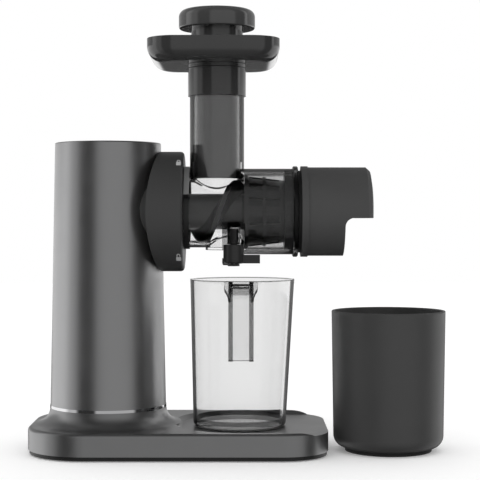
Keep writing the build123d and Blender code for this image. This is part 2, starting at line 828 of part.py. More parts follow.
with BuildPart() as auger:
    with BuildLine() as centre_line:
        Line((auger_start_x, 0, auger_height), (auger_end_x, 0, auger_height))
    with BuildSketch(Plane((auger_start_x, 0, auger_height), x_dir=(0, 1, 0), z_dir=(1, 0, 0))) as section:
        with BuildLine():
            root_low = polar(auger_core, flight_turn - flight_root_half)
            root_high = polar(auger_core, flight_turn + flight_root_half)
            tip_low = polar(auger_tip, flight_turn - flight_tip_half)
            tip_high = polar(auger_tip, flight_turn + flight_tip_half)
            Line(root_low, tip_low)
            ThreePointArc(tip_low, polar(auger_tip, flight_turn), tip_high)
            Line(tip_high, root_high)
            ThreePointArc(root_high, polar(auger_core, flight_turn + 180), root_low)
        make_face()
    twist = Helix(
        auger_pitch, auger_end_x - auger_start_x, auger_tip,
        center=(auger_start_x, 0, auger_height), direction=(1, 0, 0), lefthand=True, mode=Mode.PRIVATE,
    )
    sweep(path=centre_line.wires()[0], binormal=twist)
    # the flight tapers to follow the strainer's cone
    trim_start = auger_start_x - auger_flange_foot
    trim_end = auger_end_x + auger_flange_foot
    turned([
        (trim_start, 0),
        (trim_start, taper_radius(trim_start)),
        (trim_end, taper_radius(trim_end)),
        (trim_end, 0),
    ], mode=Mode.INTERSECT)
    hex_x(chamber_back_x, auger_hex_end, hex_radius, mode=Mode.SUBTRACT)
    add(auger_spigot.part)
    turned([
        (auger_start_x, spigot_radius),
        (auger_start_x, auger_flange_radius),
        (auger_start_x + auger_flange_land, auger_flange_radius),
        (auger_start_x + auger_flange_foot, spigot_radius),
    ])
    rod_x(auger_end_x, auger_end_x + journal_length, journal_radius)
save(auger, "auger")

with BuildPart() as auger_seal:
    rod_x(seal_start_x, auger_start_x, auger_seal_radius - running_fit)
    rod_x(seal_start_x, auger_start_x, spigot_radius, mode=Mode.SUBTRACT)
save(auger_seal, "auger_seal")

# ---------------------------------------------------------------- juicing chamber
pivot_y = -(sump_radius + gate_hub_radius + body_gap)
pivot_x = spout_x + pivot_from_spout

with BuildPart() as juicing_chamber:
    rod_x(chamber_back_x, step_x, barrel_radius)
    rod_x(step_x, chamber_end_x, wide_radius)
    turned([
        (flange_x, wide_bore),
        (flange_x, flange_radius - flange_bevel),
        (flange_x + flange_bevel, flange_radius),
        (chamber_end_x - flange_bevel, flange_radius),
        (chamber_end_x, flange_radius - flange_bevel),
        (chamber_end_x, wide_bore),
    ])
    rod_z(chute_x, 0, auger_height, chute_top, chute_radius)
    rod_z(spout_x, 0, sump_bottom, auger_height, sump_radius)
    rod_z(spout_x, 0, nozzle_bottom, sump_bottom, nozzle_radius)
    # boss that holds the drip stop's pin, tied to the barrel by a web
    rod_z(pivot_x, pivot_y, gate_hub_top + body_gap, pivot_top, pivot_boss_radius)
    block(
        (pivot_x - sump_wall, pivot_x + sump_wall),
        (pivot_y, -sump_radius / 2),
        (gate_hub_top + sump_wall, pivot_top - sump_wall),
    )
    # bores
    rod_x(chamber_back_x + step_wall, step_x + step_wall, barrel_bore, mode=Mode.SUBTRACT)
    rod_x(step_x + step_wall, chamber_end_x, wide_bore, mode=Mode.SUBTRACT)
    rod_x(chamber_back_x, chamber_back_x + step_wall, auger_seal_radius, mode=Mode.SUBTRACT)
    rod_z(chute_x, 0, auger_height, chute_top, chute_radius - chute_wall, mode=Mode.SUBTRACT)
    rod_z(spout_x, 0, sump_bottom + sump_wall, auger_height, sump_radius - sump_wall, mode=Mode.SUBTRACT)
    rod_z(spout_x, 0, nozzle_bottom, sump_bottom + sump_wall, nozzle_bore, mode=Mode.SUBTRACT)
    rod_z(pivot_x, pivot_y, gate_hub_top, pivot_top - pivot_roof, pivot_radius, mode=Mode.SUBTRACT)
save(juicing_chamber, "juicing_chamber")

with BuildPart() as chamber_lock_ring:
    ring_x = hub_x + body_gap
    rod_x(ring_x, ring_x + lock_ring_width, lock_ring_radius)
    lug_root = (barrel_radius + lock_ring_radius) / 2
    for middle in (lug_angle, 180 - lug_angle):
        low, high = middle - lug_span / 2, middle + lug_span / 2
        with BuildSketch(Plane((ring_x, 0, auger_height), x_dir=(0, 1, 0), z_dir=(1, 0, 0))) as lug:
            with BuildLine():
                Line(polar(lug_root, low), polar(lug_radius, low))
                ThreePointArc(polar(lug_radius, low), polar(lug_radius, middle), polar(lug_radius, high))
                Line(polar(lug_radius, high), polar(lug_root, high))
                ThreePointArc(polar(lug_root, high), polar(lug_root, middle), polar(lug_root, low))
            make_face()
        extrude(lug.sketch, amount=lock_ring_width)
    rod_x(ring_x, ring_x + lock_ring_width, barrel_radius, mode=Mode.SUBTRACT)
save(chamber_lock_ring, "chamber_lock_ring")

# ---------------------------------------------------------------- strainer
strainer_x = step_x + step_wall + strainer_start_gap
strainer_cone_end = strainer_x + strainer_cone_length
strainer_end_x = strainer_cone_end + strainer_end_ring
window_length = (strainer_cone_length - 4 * rib_width) / 2


def strainer_radius(x):
    """Outer radius of the strainer's cone at a station."""
    return strainer_large + (strainer_small - strainer_large) * (x - strainer_x) / strainer_cone_length


with BuildPart() as strainer_frame:
    turned([
        (strainer_x, strainer_large - strainer_wall),
        (strainer_x, strainer_large),
        (strainer_cone_end, strainer_small),
        (strainer_cone_end, wide_bore),
        (strainer_end_x, wide_bore),
        (strainer_end_x, strainer_small - strainer_wall),
        (strainer_cone_end, strainer_small - strainer_wall),
    ])
    for start in (strainer_x, strainer_x + strainer_cone_length / 2 - rib_width / 2):
        middle = start + rib_width / 2
        outer = strainer_radius(middle) + rib_height
        inner = strainer_radius(start + rib_width) - strainer_wall / 2
        turned([(start, inner), (start, outer), (start + rib_width, outer), (start + rib_width, inner)])
    window_width = math.pi * strainer_small / strainer_windows
    for turn in range(strainer_windows):
        tilt = 360 / strainer_windows * (turn + 0.5)
        for start in (strainer_x + 1.5 * rib_width, strainer_x + 2.5 * rib_width + window_length):
            with Locations(Location((start, 0, auger_height), (tilt, 0, 0))):
                Box(
                    window_length, window_width, 2 * strainer_large,
                    align=(Align.MIN, Align.CENTER, Align.MIN), mode=Mode.SUBTRACT,
                )
save(strainer_frame, "strainer_frame")

with BuildPart() as strainer_mesh:
    inner_large = strainer_large - strainer_wall - mesh_seat_gap
    inner_small = strainer_small - strainer_wall - mesh_seat_gap
    turned([
        (strainer_x, inner_large - mesh_thickness),
        (strainer_x, inner_large),
        (strainer_cone_end, inner_small),
        (strainer_end_x, inner_small),
        (strainer_end_x, inner_small - mesh_thickness),
        (strainer_cone_end, inner_small - mesh_thickness),
    ])
save(strainer_mesh, "strainer_mesh")

# ---------------------------------------------------------------- end cap
cap_body_x = cap_x + cap_rim_width
cap_spigot_x = gasket_x - cap_spigot_length
bearing_end_x = auger_end_x + journal_length + journal_end_gap + bearing_floor
outlet_left = cap_end_x - outlet_left_from_end

with BuildPart() as cap_gasket:
    rod_x(gasket_x, cap_x, gasket_radius)
    rod_x(gasket_x, cap_x, cap_spigot_radius, mode=Mode.SUBTRACT)
save(cap_gasket, "cap_gasket")


def cap_stations(inset):
    """Outline of the cap with its domed end, drawn in by a wall."""
    return [
        (cap_x + inset, 0),
        (cap_x + inset, cap_radius - inset),
        (cap_end_x - cap_dome, cap_radius - inset),
        (cap_end_x - cap_shoulder_back - inset, cap_shoulder_radius - inset),
        (cap_end_x - cap_crown_back - inset, cap_crown_radius - inset),
        (cap_end_x - inset, 0),
    ]


with BuildPart() as end_cap:
    turned(cap_stations(0))
    rod_x(cap_x, cap_body_x, cap_rim_radius)
    rod_x(cap_spigot_x, cap_x, cap_spigot_radius)
    turned(cap_stations(cap_wall), mode=Mode.SUBTRACT)
    rod_x(cap_spigot_x, cap_x + cap_wall, cap_spigot_radius - cap_wall, mode=Mode.SUBTRACT)
    # bearing for the auger's journal on three spokes
    rod_x(cap_spigot_x, bearing_end_x, bearing_boss_radius)
    for turn in range(3):
        with Locations(Location((cap_spigot_x, 0, auger_height), (120 * turn, 0, 0))):
            Box(
                bearing_end_x - cap_spigot_x, spoke_width, cap_spigot_radius - cap_wall / 2,
                align=(Align.MIN, Align.CENTER, Align.MIN),
            )
    rod_x(cap_spigot_x, bearing_end_x - bearing_floor, journal_radius + body_gap, mode=Mode.SUBTRACT)
    # pulp outlet: the lower right of the cap is cut away, with a concave corner
    with BuildSketch(Plane.XZ.offset(-base_depth / 2)) as outlet:
        with BuildLine():
            clear = 2 * cap_wall
            floor = auger_height - cap_rim_radius - clear
            corner = (outlet_left + outlet_round, outlet_top)
            side = (outlet_left, outlet_top - outlet_round)
            slack = outlet_round * (1 - math.cos(math.radians(45)))
            Line((cap_end_x + clear, outlet_top), corner)
            ThreePointArc(corner, (outlet_left + slack, outlet_top - slack), side)
            Line(side, (outlet_left, floor))
            Line((outlet_left, floor), (cap_end_x + clear, floor))
            Line((cap_end_x + clear, floor), (cap_end_x + clear, outlet_top))
        make_face()
    extrude(outlet.sketch, amount=base_depth, mode=Mode.SUBTRACT)
save(end_cap, "end_cap")

# ---------------------------------------------------------------- feed tray
tray_bore = chute_radius - chute_wall


def tray_plan(inset, height):
    """The tray's rounded-square outline, drawn in by an inset, at a height."""
    with BuildSketch(Plane.XY.offset(height)) as plan:
        with Locations((chute_x - tray_from_chute, 0)):
            RectangleRounded(tray_length - 2 * inset, tray_depth - 2 * inset, tray_corner - inset)
    return plan.sketch


with BuildPart() as tray_bowl:
    extrude(tray_plan(tray_wall, tray_bottom + tray_wall), amount=tray_height)
    fillet(tray_bowl.faces().sort_by(Axis.Z)[0].edges(), tray_bottom_round - tray_wall)

with BuildPart() as feed_tray:
    extrude(tray_plan(0, tray_bottom), amount=tray_height)
    fillet(feed_tray.faces().sort_by(Axis.Z)[0].edges(), tray_bottom_round)
    add(tray_bowl.part, mode=Mode.SUBTRACT)
    rod_z(chute_x, 0, tray_bottom - collar_length, tray_bottom, collar_radius)
    rod_z(
        chute_x, 0, tray_bottom - collar_length, tray_bottom, chute_radius + body_gap, mode=Mode.SUBTRACT
    )
    rod_z(chute_x, 0, tray_bottom, tray_bottom + tray_wall, tray_bore, mode=Mode.SUBTRACT)
save(feed_tray, "feed_tray")

# ---------------------------------------------------------------- pusher
neck_bottom = tray_bottom + tray_wall + body_gap

with BuildPart() as pusher_body:
    rod_z(chute_x, 0, pusher_tip_height, neck_bottom, stem_radius)
    fillet(pusher_body.edges().group_by(Axis.Z)[0], pusher_edge_round)
    rod_z(chute_x, 0, neck_bottom, knob_bottom, neck_radius)
    rod_z(
        chute_x, 0, pusher_tip_height + stem_wall, knob_bottom, stem_radius - stem_wall, mode=Mode.SUBTRACT
    )
save(pusher_body, "pusher_body")

with BuildPart() as pusher_knob:
    rod_z(chute_x, 0, knob_bottom, knob_top, knob_radius)
    fillet(pusher_knob.edges().group_by(Axis.Z)[-1], knob_round)
    fillet(pusher_knob.edges().group_by(Axis.Z)[0], pusher_edge_round)
    rod_z(chute_x, 0, knob_bottom - knob_plug_length, knob_bottom, stem_radius - stem_wall)
save(pusher_knob, "pusher_knob")

# ---------------------------------------------------------------- drip stop
with BuildPart() as pivot_pin:
    head_top = gate_bottom - body_gap
    rod_z(pivot_x, pivot_y, head_top, pivot_top - pivot_roof, pivot_radius)
    rod_z(pivot_x, pivot_y, head_top - pin_head_height, head_top, pin_head_radius)
save(pivot_pin, "pivot_pin")

with BuildPart() as drip_stop:
    rod_z(pivot_x, pivot_y, gate_bottom, gate_hub_top, gate_hub_radius)
    fillet(drip_stop.edges().group_by(Axis.Z)[0], gate_edge_round)
    block(
        (spout_x - gate_arm_width / 2, spout_x + gate_arm_width / 2),
        (pivot_y, 0),
        (gate_bottom, gate_arm_top),
    )
    rod_z(spout_x, 0, gate_bottom - gate_seat_rim, gate_arm_top, gate_arm_width / 2)
    block(
        (pivot_x, pivot_x + lever_length),
        (pivot_y - lever_width / 2, pivot_y + lever_width / 2),
        (gate_bottom + body_gap, gate_bottom + body_gap + lever_height),
    )
    rod_z(pivot_x, pivot_y, gate_bottom, gate_hub_top, pivot_radius + running_fit, mode=Mode.SUBTRACT)
save(drip_stop, "drip_stop")

# ---------------------------------------------------------------- power switch
back_y = column_radius(switch_height - bezel_height / 2) + bezel_stand
bezel_end_y = column_radius(switch_height) - column_wall - bezel_depth


def switch_plan(width, height, corner):
    """A rounded rectangle facing the back, centred on the switch."""
    with BuildSketch(Plane((column_x, back_y, switch_height), x_dir=(-1, 0, 0), z_dir=(0, 1, 0))) as plan:
        RectangleRounded(width, height, corner)
    return plan.sketch


with BuildPart() as switch_bezel:
    extrude(switch_plan(bezel_width, bezel_height, bezel_corner), amount=-(bezel_stand + bezel_flange_depth))
    # the flange is fitted to the round column
    column_body(0, mode=Mode.SUBTRACT)
    fit = 2 * body_gap
    inner = switch_plan(switch_opening_width - fit, switch_opening_height - fit, bezel_corner / 2)
    extrude(inner, amount=-(back_y - bezel_end_y))
    hole = switch_plan(rocker_width + fit, rocker_height + fit, body_gap)
    extrude(hole, amount=-(back_y - bezel_end_y) + column_wall, mode=Mode.SUBTRACT)
save(switch_bezel, "switch_bezel")

with BuildPart() as switch_rocker:
    with BuildSketch(Plane((column_x, 0, 0), x_dir=(0, 1, 0), z_dir=(1, 0, 0))) as side_view:
        with BuildLine():
            half = rocker_height / 2 - 2 * body_gap
            root_y = back_y - rocker_depth
            top_end = (back_y + rocker_stand, switch_height + half)
            low_end = (back_y + rocker_stand, switch_height - half)
            top_root = (root_y, switch_height + half - rocker_taper)
            low_root = (root_y, switch_height - half + rocker_taper)
            Line(low_root, low_end)
            ThreePointArc(low_end, (back_y + rocker_stand - rocker_dish, switch_height), top_end)
            Line(top_end, top_root)
            Line(top_root, low_root)
        make_face()
    extrude(side_view.sketch, amount=rocker_width / 2, both=True)
save(switch_rocker, "switch_rocker")

# ---------------------------------------------------------------- control board
board_x = chassis_x - board_standoff - board_thickness
standoff_points = [
    (side * (board_width / 2 - board_hole_inset), board_bottom + z)
    for side in (-1, 1)
    for z in (board_hole_inset, board_length - board_hole_inset)
]
relay_height = board_bottom + board_length / 3
low_capacitor_height = board_bottom + board_length / 3
high_capacitor_height = board_bottom + 3 * board_length / 4

with BuildPart() as control_board:
    block(
        (board_x, board_x + board_thickness),
        (-board_width / 2, board_width / 2),
        (board_bottom, board_bottom + board_length),
    )
    block(
        (board_x - relay_depth, board_x),
        (-component_offset - relay_width / 2, -component_offset + relay_width / 2),
        (relay_height - relay_length / 2, relay_height + relay_length / 2),
    )
    for capacitor_height in (low_capacitor_height, high_capacitor_height):
        rod_x(board_x - capacitor_length, board_x, capacitor_radius, component_offset, capacitor_height)
save(control_board, "control_board")

with BuildPart() as board_standoffs:
    for y, z in standoff_points:
        rod_x(board_x + board_thickness, chassis_x, standoff_radius, y, z)
save(board_standoffs, "board_standoffs")

# ---------------------------------------------------------------- jug
jug_bottom = recess_floor + body_gap
jug_height = jug_rim_height - jug_bottom
jug_tilt = math.degrees(math.atan(jug_lean / jug_height))
jug_spread = (jug_rim_radius - jug_foot_radius) / jug_height


def leaning_cone(low, inset):
    """The jug's tapered wall, drawn in by an inset, cut level at a low height and at the rim."""
    spare = 2 * jug_floor
    with BuildPart() as cone:
        with Locations(Location((jug_x + jug_lean / 2, 0, jug_bottom + jug_height / 2), (0, jug_tilt, 0))):
            Cone(
                jug_foot_radius - inset - jug_spread * spare,
                jug_rim_radius - inset + jug_spread * spare,
                jug_height + 2 * spare,
            )
        block(
            (jug_x - 2 * jug_rim_radius, jug_x + 2 * jug_rim_radius),
            (-2 * jug_rim_radius, 2 * jug_rim_radius),
            (low, jug_rim_height),
            mode=Mode.INTERSECT,
        )
    return cone.part


jug_body = leaning_cone(jug_bottom, 0)
jug_hollow = leaning_cone(jug_bottom + jug_floor, jug_wall)

def strap_side(x, depth):
    """Side view of the strap: out from the rim, round the shoulder and down to a free end."""
    root_y = -(jug_rim_radius - jug_wall)
    outer_y = -(jug_rim_radius + handle_reach)
    middle = jug_rim_height - handle_flange_depth / 2
    with BuildSketch(Plane((x, 0, 0), x_dir=(0, 1, 0), z_dir=(1, 0, 0))) as side_view:
        with BuildLine():
            FilletPolyline(
                (root_y, middle), (outer_y, middle), (outer_y + handle_lean, handle_end), radius=handle_bend
            )
        trace(line_width=depth)
    return side_view.sketch


with BuildPart() as handle_strap:
    # a channel: the thin strap between two deeper flanges
    handle_left = jug_x + (jug_lean - handle_width) / 2
    extrude(strap_side(handle_left, handle_thickness), amount=handle_width)
    for x in (handle_left, handle_left + handle_width - handle_flange_width):
        extrude(strap_side(x, handle_flange_depth), amount=handle_flange_width)

with BuildPart() as juice_jug:
    add(jug_body)
    fillet(juice_jug.edges().group_by(Axis.Z)[0], jug_bottom_round)
    add(handle_strap.part)
    add(jug_hollow, mode=Mode.SUBTRACT)
save(juice_jug, "juice_jug")

# ---------------------------------------------------------------- pulp cup
with BuildPart() as cup_hollow:
    turned_upright(cup_x, cup_y, [
        (0, cup_base_height + cup_wall),
        (cup_foot_radius - cup_wall, cup_base_height + cup_wall),
        (cup_rim_radius - cup_wall, cup_top),
        (0, cup_top),
    ])
    fillet(cup_hollow.edges().group_by(Axis.Z)[0], cup_bottom_round - cup_wall)

with BuildPart() as pulp_cup:
    turned_upright(cup_x, cup_y, [
        (0, cup_base_height), (cup_foot_radius, cup_base_height), (cup_rim_radius, cup_top), (0, cup_top),
    ])
    fillet(pulp_cup.edges().group_by(Axis.Z)[0], cup_bottom_round)
    add(cup_hollow.part, mode=Mode.SUBTRACT)
    fillet(pulp_cup.edges().group_by(Axis.Z)[-1], cup_rim_round)
save(pulp_cup, "pulp_cup")

with BuildPart() as pulp_cup_foot:
    rod_z(cup_x, cup_y, 0, cup_base_height, cup_ring_radius)
    rod_z(cup_x, cup_y, 0, cup_base_height, cup_ring_radius - cup_ring_width, mode=Mode.SUBTRACT)
save(pulp_cup_foot, "pulp_cup_foot")
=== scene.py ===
# Cold press juicer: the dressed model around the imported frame.
import math

import bpy
import bmesh
import numpy as np
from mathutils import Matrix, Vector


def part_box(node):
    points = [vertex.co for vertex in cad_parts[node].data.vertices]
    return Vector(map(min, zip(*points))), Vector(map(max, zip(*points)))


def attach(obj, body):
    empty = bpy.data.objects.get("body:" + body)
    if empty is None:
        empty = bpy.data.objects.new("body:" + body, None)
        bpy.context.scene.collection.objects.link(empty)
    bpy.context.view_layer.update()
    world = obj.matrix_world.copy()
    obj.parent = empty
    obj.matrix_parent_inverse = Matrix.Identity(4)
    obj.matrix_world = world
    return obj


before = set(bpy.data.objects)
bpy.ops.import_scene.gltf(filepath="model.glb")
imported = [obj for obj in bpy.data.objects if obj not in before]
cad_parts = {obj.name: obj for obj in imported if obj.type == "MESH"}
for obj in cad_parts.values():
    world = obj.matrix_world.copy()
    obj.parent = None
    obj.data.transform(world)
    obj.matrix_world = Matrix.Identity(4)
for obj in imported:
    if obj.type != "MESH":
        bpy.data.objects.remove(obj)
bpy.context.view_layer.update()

MM = 0.001
X, Y, Z = 0, 1, 2
FULL_TURN = 360
BOTH_SIDES = (-1, 1)
scene = bpy.context.scene

# ---------------------------------------------------------------- camera
CAMERA_PLACE = (0.0018, -1.144, 0.191)
CAMERA_LENS = 102.15
CAMERA_TILT = 89.2

camera = bpy.data.objects.new("camera", bpy.data.cameras.new("camera"))
scene.collection.objects.link(camera)
camera.data.lens = CAMERA_LENS
camera.location = CAMERA_PLACE
camera.rotation_euler = (math.radians(CAMERA_TILT), 0, 0)
scene.camera = camera
scene.view_settings.view_transform = "Standard"


# ---------------------------------------------------------------- places from the frame (mm)
def low(node, axis):
    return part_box(node)[0][axis] / MM


def high(node, axis):
    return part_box(node)[1][axis] / MM


def middle(node, axis):
    return (low(node, axis) + high(node, axis)) / 2


column_x = middle("trim_ring", X)
hub_x = high("hub_housing", X)
hub_z = middle("hub_housing", Z)
hub_radius = (high("hub_housing", Y) - low("hub_housing", Y)) / 2
lock_left = low("chamber_lock_ring", X)
lock_right = high("chamber_lock_ring", X)
chute_x = middle("pusher_body", X)
chamber_end = high("juicing_chamber", X)
jug_bottom = low("juice_jug", Z)
jug_top = high("juice_jug", Z)

# the jug leans to the right a little: middle and radius of its outer skin at the foot and at the rim
JUG_FOOT_X, JUG_FOOT_RADIUS = 1.4, 38.7
JUG_RIM_X, JUG_RIM_RADIUS = 3.7, 43.7
CHUTE_RADIUS = 22.7
CHUTE_BOTTOM, CHUTE_TOP = 240.0, 320.0
handle_x = (JUG_FOOT_X + JUG_RIM_X) / 2


# ---------------------------------------------------------------- node helpers
class Graph:
    """A small wrapper that adds and joins shader nodes."""

    def __init__(self, tree):
        self.tree = tree
        tree.nodes.clear()

    def add(self, kind, inputs=None, **settings):
        node = self.tree.nodes.new("ShaderNode" + kind)
        for key, value in settings.items():
            setattr(node, key, value)
        for key, value in (inputs or {}).items():
            socket = node.inputs[key]
            if isinstance(value, bpy.types.NodeSocket):
                self.tree.links.new(value, socket)
            else:
                socket.default_value = value
        return node

    def math(self, operation, a, b=0.0, clamp=False):
        return self.add("Math", {0: a, 1: b}, operation=operation, use_clamp=clamp).outputs[0]

    def blend(self, fac, a, b, blend_type="MIX"):
        return self.add("Mix", {0: fac, 6: a, 7: b}, data_type="RGBA", blend_type=blend_type).outputs[2]

    def mix(self, fac, a, b):
        return self.add("MixShader", {0: fac, 1: a.outputs[0], 2: b.outputs[0]})

    def ramp(self, fac, stops, interpolation="LINEAR"):
        node = self.add("ValToRGB", {0: fac})
        node.color_ramp.interpolation = interpolation
        elements = node.color_ramp.elements
        elements.remove(elements[1])
        elements[0].position = stops[0][0]
        elements[0].color = grey(stops[0][1])
        for place, level in stops[1:]:
            elements.new(place).color = grey(level)
        return node.outputs[0]

    def step(self, fac, start, end, before=0.0, after=1.0):
        """before up to start, after from end on, and a slope between them."""
        return self.ramp(fac, [(0.0, before), (start, before), (end, after), (1.0, after)])

    def finish(self, shade, output="OutputMaterial"):
        self.tree.links.new(shade.outputs[0], self.add(output).inputs[0])


def grey(level):
    return (level, level, level, 1.0)


def new_material(name):
    material = bpy.data.materials.new(name)
    material.use_nodes = True
    return material, Graph(material.node_tree)


def seen_directly(g):
    """1 for what the camera sees itself or through clear plastic."""
    path = g.add("LightPath").outputs
    return g.math("MAXIMUM", path["Is Camera Ray"], path["Is Transmission Ray"])


# ---------------------------------------------------------------- studio
WHITE, FRONT, DARK = 1.0, 0.42, 0.03
# what gloss reflects, by azimuth from the front: start, end, level
STUDIO_BANDS = [
    (-180, -88, WHITE), (-80, -62, 0.5), (-57, -22, DARK), (-19, 56, FRONT),
    (60, 92, DARK), (96, 180, WHITE),
]
BAND_SOFTNESS = 1.5
HEIGHT_FALLOFF = [(0.0, 1.0), (0.35, 1.0), (0.85, 0.25), (1.0, 0.2)]
# the upper zone beyond the sides is dimmer, as flat tops show it
UPPER_FADE = (0.07, 0.12)
UPPER_AZIMUTH = 105
UPPER_DIMMING = 0.62
# the low zone behind the object stays dark, as undersides show it
LOWER_FADE = (0.06, 0.1)
LOWER_AZIMUTH = 150

FLOOR_HALF = 3.0
FLOOR_BOUNCE = 0.8
FLOOR_PALE = 0.93
FLOOR_LIFT = 0.18


def band_stops():
    """Ramp stops over one turn, with soft edges between the bands."""
    stops = []
    for start, end, level in STUDIO_BANDS:
        stops.append(((start + BAND_SOFTNESS) / FULL_TURN + 0.5, level))
        stops.append(((end - BAND_SOFTNESS) / FULL_TURN + 0.5, level))
    return stops


def build_world():
    world = bpy.data.worlds.new("studio")
    scene.world = world
    world.use_nodes = True
    world.cycles.sampling_method = "NONE"
    g = Graph(world.node_tree)
    direction = g.add("TexCoord").outputs["Generated"]
    x, y, z = g.add("SeparateXYZ", {0: direction}).outputs
    azimuth = g.math("ARCTAN2", x, g.math("MULTIPLY", y, -1.0))
    turn = g.math("ADD", g.math("DIVIDE", azimuth, 2 * math.pi), 0.5)
    falloff = g.ramp(g.math("ABSOLUTE", z), HEIGHT_FALLOFF, "EASE")
    glossy = g.blend(1.0, g.ramp(turn, band_stops()), falloff, "MULTIPLY")
    away = g.math("ABSOLUTE", g.math("SUBTRACT", turn, 0.5))
    beyond = g.math("GREATER_THAN", away, UPPER_AZIMUTH / FULL_TURN)
    dim = g.math("MULTIPLY", g.math("MULTIPLY", g.step(z, *UPPER_FADE), beyond), UPPER_DIMMING)
    glossy = g.blend(dim, glossy, grey(0.0))
    behind = g.math("GREATER_THAN", away, LOWER_AZIMUTH / FULL_TURN)
    down = g.step(g.math("MULTIPLY", z, -1.0), *LOWER_FADE)
    glossy = g.blend(g.math("MULTIPLY", behind, down), glossy, grey(DARK))
    colour = g.blend(g.add("LightPath").outputs["Is Glossy Ray"], grey(WHITE), glossy)
    colour = g.blend(seen_directly(g), colour, grey(WHITE))
    g.finish(g.add("Background", {"Color": colour, "Strength": 1.0}), "OutputWorld")


def build_floor():
    corners = [(-1, -1), (1, -1), (1, 1), (-1, 1)]
    mesh = bpy.data.meshes.new("floor")
    mesh.from_pydata([(x * FLOOR_HALF, y * FLOOR_HALF, 0) for x, y in corners], [], [(0, 1, 2, 3)])
    floor = bpy.data.objects.new("floor", mesh)
    scene.collection.objects.link(floor)
    material, g = new_material("floor")
    bounce = g.add("BsdfDiffuse", {"Color": grey(FLOOR_BOUNCE)})
    pale = g.add("BsdfDiffuse", {"Color": grey(FLOOR_PALE)})
    lift = g.add("Emission", {"Color": grey(WHITE), "Strength": FLOOR_LIFT})
    shown = g.add("AddShader", {0: pale.outputs[0], 1: lift.outputs[0]})
    g.finish(g.mix(seen_directly(g), bounce, shown))
    mesh.materials.append(material)
    floor.visible_glossy = False


build_world()
build_floor()

# ---------------------------------------------------------------- materials
# the mottling is so many times coarser than the grain
MOTTLE_SIZE = 28
GRAIN_DEPTH = 0.0002
COAT_ROUGH = 0.05

CLEAR_IOR = 1.35
CLEAR_WAVE = {"Scale": 14.0, "Detail": 1.0}
CLEAR_WAVE_RELIEF = {"Strength": 0.04, "Distance": 0.0005}
CLEAR_HAZE = 0.03
# painted shade: the look and the fade of a dark outline painted on clear plastic seen edge on
PAINTED_OUTLINE_LOOK = {"Base Color": grey(0.012), "Roughness": 0.35, "Specular IOR Level": 0.25}
OUTLINE_FADE = 0.06
SKIN_DEPTH = 0.8

SMOKE_WAVE = {"Scale": 18.0, "Detail": 2.0}
SMOKE_RELIEF = {"Strength": 0.05, "Distance": 0.0004}
SMOKE_MOTTLE = 0.1
SMOKE_ROUGH, SMOKE_ROUGH_SWING = 0.1, 0.05
SMOKE_COAT = {"Coat Weight": 0.6, "Coat Roughness": 0.04}
SMOKE_GLASS = {"Base Color": grey(0.35), "Transmission Weight": 1.0, "IOR": 1.2}


def surface(name, colour, rough, metal=0.0, grain=900.0, bump=0.15, mottle=0.12, rough_swing=0.06,
            streak=None, coat=0.0, specular=0.5):
    """A moulded, painted or machined finish: fine grain, mottling and uneven gloss."""
    material, g = new_material(name)
    place = g.add("TexCoord").outputs["Object"]
    if streak:
        place = g.add("Mapping", {0: place, 3: streak}).outputs[0]
    fine = g.add("TexNoise", {"Vector": place, "Scale": grain, "Detail": 3.0}).outputs[0]
    broad = g.add("TexNoise", {"Vector": place, "Scale": grain / MOTTLE_SIZE, "Detail": 2.0}).outputs[0]
    dark = tuple(c * (1 - mottle) for c in colour) + (1.0,)
    light = tuple(min(c * (1 + mottle), 1.0) for c in colour) + (1.0,)
    share = g.math("ADD", g.math("MULTIPLY", fine, 0.5), g.math("MULTIPLY", broad, 0.5))
    gloss = g.math("ADD", g.math("MULTIPLY", broad, 2 * rough_swing), rough - rough_swing, clamp=True)
    relief = g.add("Bump", {"Strength": bump, "Distance": GRAIN_DEPTH, "Height": fine}).outputs[0]
    g.finish(g.add("BsdfPrincipled", {
        "Base Color": g.blend(share, dark, light), "Roughness": gloss, "Metallic": metal, "Normal": relief,
        "Coat Weight": coat, "Coat Roughness": COAT_ROUGH, "Specular IOR Level": specular,
    }))
    return material


def outer_face(g, place, foot, top):
    """1 outside an upright round wall between foot and top, each (x, z, radius), and 0 within it."""
    x, y, z = g.add("SeparateXYZ", {0: place}).outputs
    (x0, z0, r0), (x1, z1, r1) = foot, top
    rise = g.math("DIVIDE", g.math("SUBTRACT", z, z0 * MM), (z1 - z0) * MM)
    centre = g.math("ADD", g.math("MULTIPLY", rise, (x1 - x0) * MM), x0 * MM)
    radius = g.math("ADD", g.math("MULTIPLY", rise, (r1 - r0) * MM), (r0 - SKIN_DEPTH) * MM)
    away = g.math("SUBTRACT", x, centre)
    distance = g.math("SQRT", g.math("ADD", g.math("MULTIPLY", away, away), g.math("MULTIPLY", y, y)))
    outside = g.math("GREATER_THAN", distance, radius)
    return g.math("MULTIPLY", outside, g.math("GREATER_THAN", z, z0 * MM))


def in_zone(g, place, ranges):
    """1 inside a box given by its range along each axis."""
    inside = 1.0
    for socket, (start, end) in zip(g.add("SeparateXYZ", {0: place}).outputs, ranges):
        above = g.math("GREATER_THAN", socket, start * MM)
        below = g.math("LESS_THAN", socket, end * MM)
        inside = g.math("MULTIPLY", inside, g.math("MULTIPLY", above, below))
    return inside


